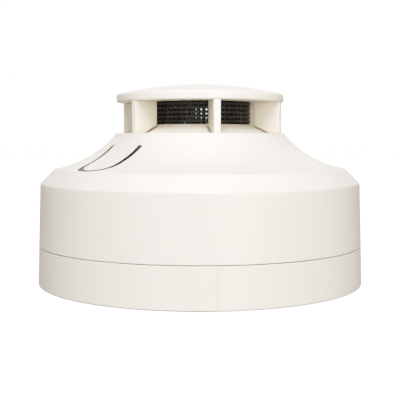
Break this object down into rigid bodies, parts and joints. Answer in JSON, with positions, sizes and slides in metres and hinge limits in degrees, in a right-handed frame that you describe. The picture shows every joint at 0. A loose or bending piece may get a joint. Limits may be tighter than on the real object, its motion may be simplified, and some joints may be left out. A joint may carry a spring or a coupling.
{
  "type": "heat detector",
  "caption": "Round ceiling heat detector: a white sensing head with a ribbed cage over a black guard screen, plugged by a part turn into a shallow mounting base with wiring terminals.",
  "frame": {"origin": "centre of the ceiling face of the mounting base", "axes": "+Z from the ceiling face towards the sensing end, which points down in use; +X along the line of the two fixing slots; -Y towards the camera of the reference picture"},
  "size_m": [0.104, 0.104, 0.0631],
  "materials": {
    "base_shell": "moulded, smooth",
    "head_shell": "moulded, glossy",
    "cap_shell": "moulded, glossy",
    "screen_plastic": "black moulded mesh",
    "chassis_plastic": "moulded",
    "board": "solder mask",
    "smoked_plastic": "smoked, moulded",
    "led_resin": "diffused resin",
    "bead_resin": "dipped resin",
    "post_plastic": "moulded",
    "tinned_wire": "tinned",
    "contact_metal": "tin plated brass",
    "zinc_steel": "zinc plated",
    "chip_resin": "moulded epoxy",
    "can_sleeve": "sleeved can",
    "disc_coating": "dipped coating",
    "resistor_body": "ceramic chip"
  },
  "bodies": {
    "base": {"mounting_base": "base_shell", "spring_contact_1": "contact_metal", "spring_contact_2": "contact_metal", "spring_contact_3": "contact_metal", "spring_contact_4": "contact_metal"},
    "head": {"outer_cover": "head_shell", "sensor_cap": "cap_shell", "guard_screen": "screen_plastic", "chassis": "chassis_plastic", "circuit_board": "board", "thermistor_bead": "bead_resin", "thermistor_leads": "tinned_wire", "thermistor_post": "post_plastic", "microcontroller": "chip_resin", "bridge_rectifier": "chip_resin", "filter_capacitor": "can_sleeve", "surge_suppressor": "disc_coating", "chip_resistors": "resistor_body", "contact_pins": "contact_metal", "cover_screws": "zinc_steel", "board_screws": "zinc_steel", "light_guide_a": "smoked_plastic", "light_guide_b": "smoked_plastic", "indicator_led_a": "led_resin", "indicator_led_b": "led_resin", "contact_blade_1": "contact_metal", "contact_blade_2": "contact_metal", "contact_blade_3": "contact_metal", "contact_blade_4": "contact_metal"},
    "clamp_1": {"clamp_plate_1": "zinc_steel"},
    "screw_1": {"terminal_screw_1": "zinc_steel"},
    "clamp_2": {"clamp_plate_2": "zinc_steel"},
    "screw_2": {"terminal_screw_2": "zinc_steel"},
    "clamp_3": {"clamp_plate_3": "zinc_steel"},
    "screw_3": {"terminal_screw_3": "zinc_steel"},
    "clamp_4": {"clamp_plate_4": "zinc_steel"},
    "screw_4": {"terminal_screw_4": "zinc_steel"}
  },
  "joints": [
    {"name": "head_twist", "type": "hinge", "parent": "base", "child": "head", "pos_m": [0, 0, 0.0141], "axis": [0, 0, 1], "range_deg": [0, 18]},
    {"name": "clamp_1_travel", "type": "slide", "parent": "base", "child": "clamp_1", "axis": [0, 0, -1], "range_m": [0, 0.00105]},
    {"name": "screw_1_turn", "type": "hinge", "parent": "clamp_1", "child": "screw_1", "pos_m": [0.01909, 0.01909, 0.0085], "axis": [0, 0, -1], "range_deg": [0, 541]},
    {"name": "clamp_2_travel", "type": "slide", "parent": "base", "child": "clamp_2", "axis": [0, 0, -1], "range_m": [0, 0.00105]},
    {"name": "screw_2_turn", "type": "hinge", "parent": "clamp_2", "child": "screw_2", "pos_m": [-0.01909, 0.01909, 0.0085], "axis": [0, 0, -1], "range_deg": [0, 541]},
    {"name": "clamp_3_travel", "type": "slide", "parent": "base", "child": "clamp_3", "axis": [0, 0, -1], "range_m": [0, 0.00105]},
    {"name": "screw_3_turn", "type": "hinge", "parent": "clamp_3", "child": "screw_3", "pos_m": [-0.01909, -0.01909, 0.0085], "axis": [0, 0, -1], "range_deg": [0, 541]},
    {"name": "clamp_4_travel", "type": "slide", "parent": "base", "child": "clamp_4", "axis": [0, 0, -1], "range_m": [0, 0.00105]},
    {"name": "screw_4_turn", "type": "hinge", "parent": "clamp_4", "child": "screw_4", "pos_m": [0.01909, -0.01909, 0.0085], "axis": [0, 0, -1], "range_deg": [0, 541]}
  ],
  "couplings": [
    {"joint": "screw_1_turn", "follows": "clamp_1_travel", "rad_per_m": 8976},
    {"joint": "screw_2_turn", "follows": "clamp_2_travel", "rad_per_m": 8976},
    {"joint": "screw_3_turn", "follows": "clamp_3_travel", "rad_per_m": 8976},
    {"joint": "screw_4_turn", "follows": "clamp_4_travel", "rad_per_m": 8976}
  ]
}
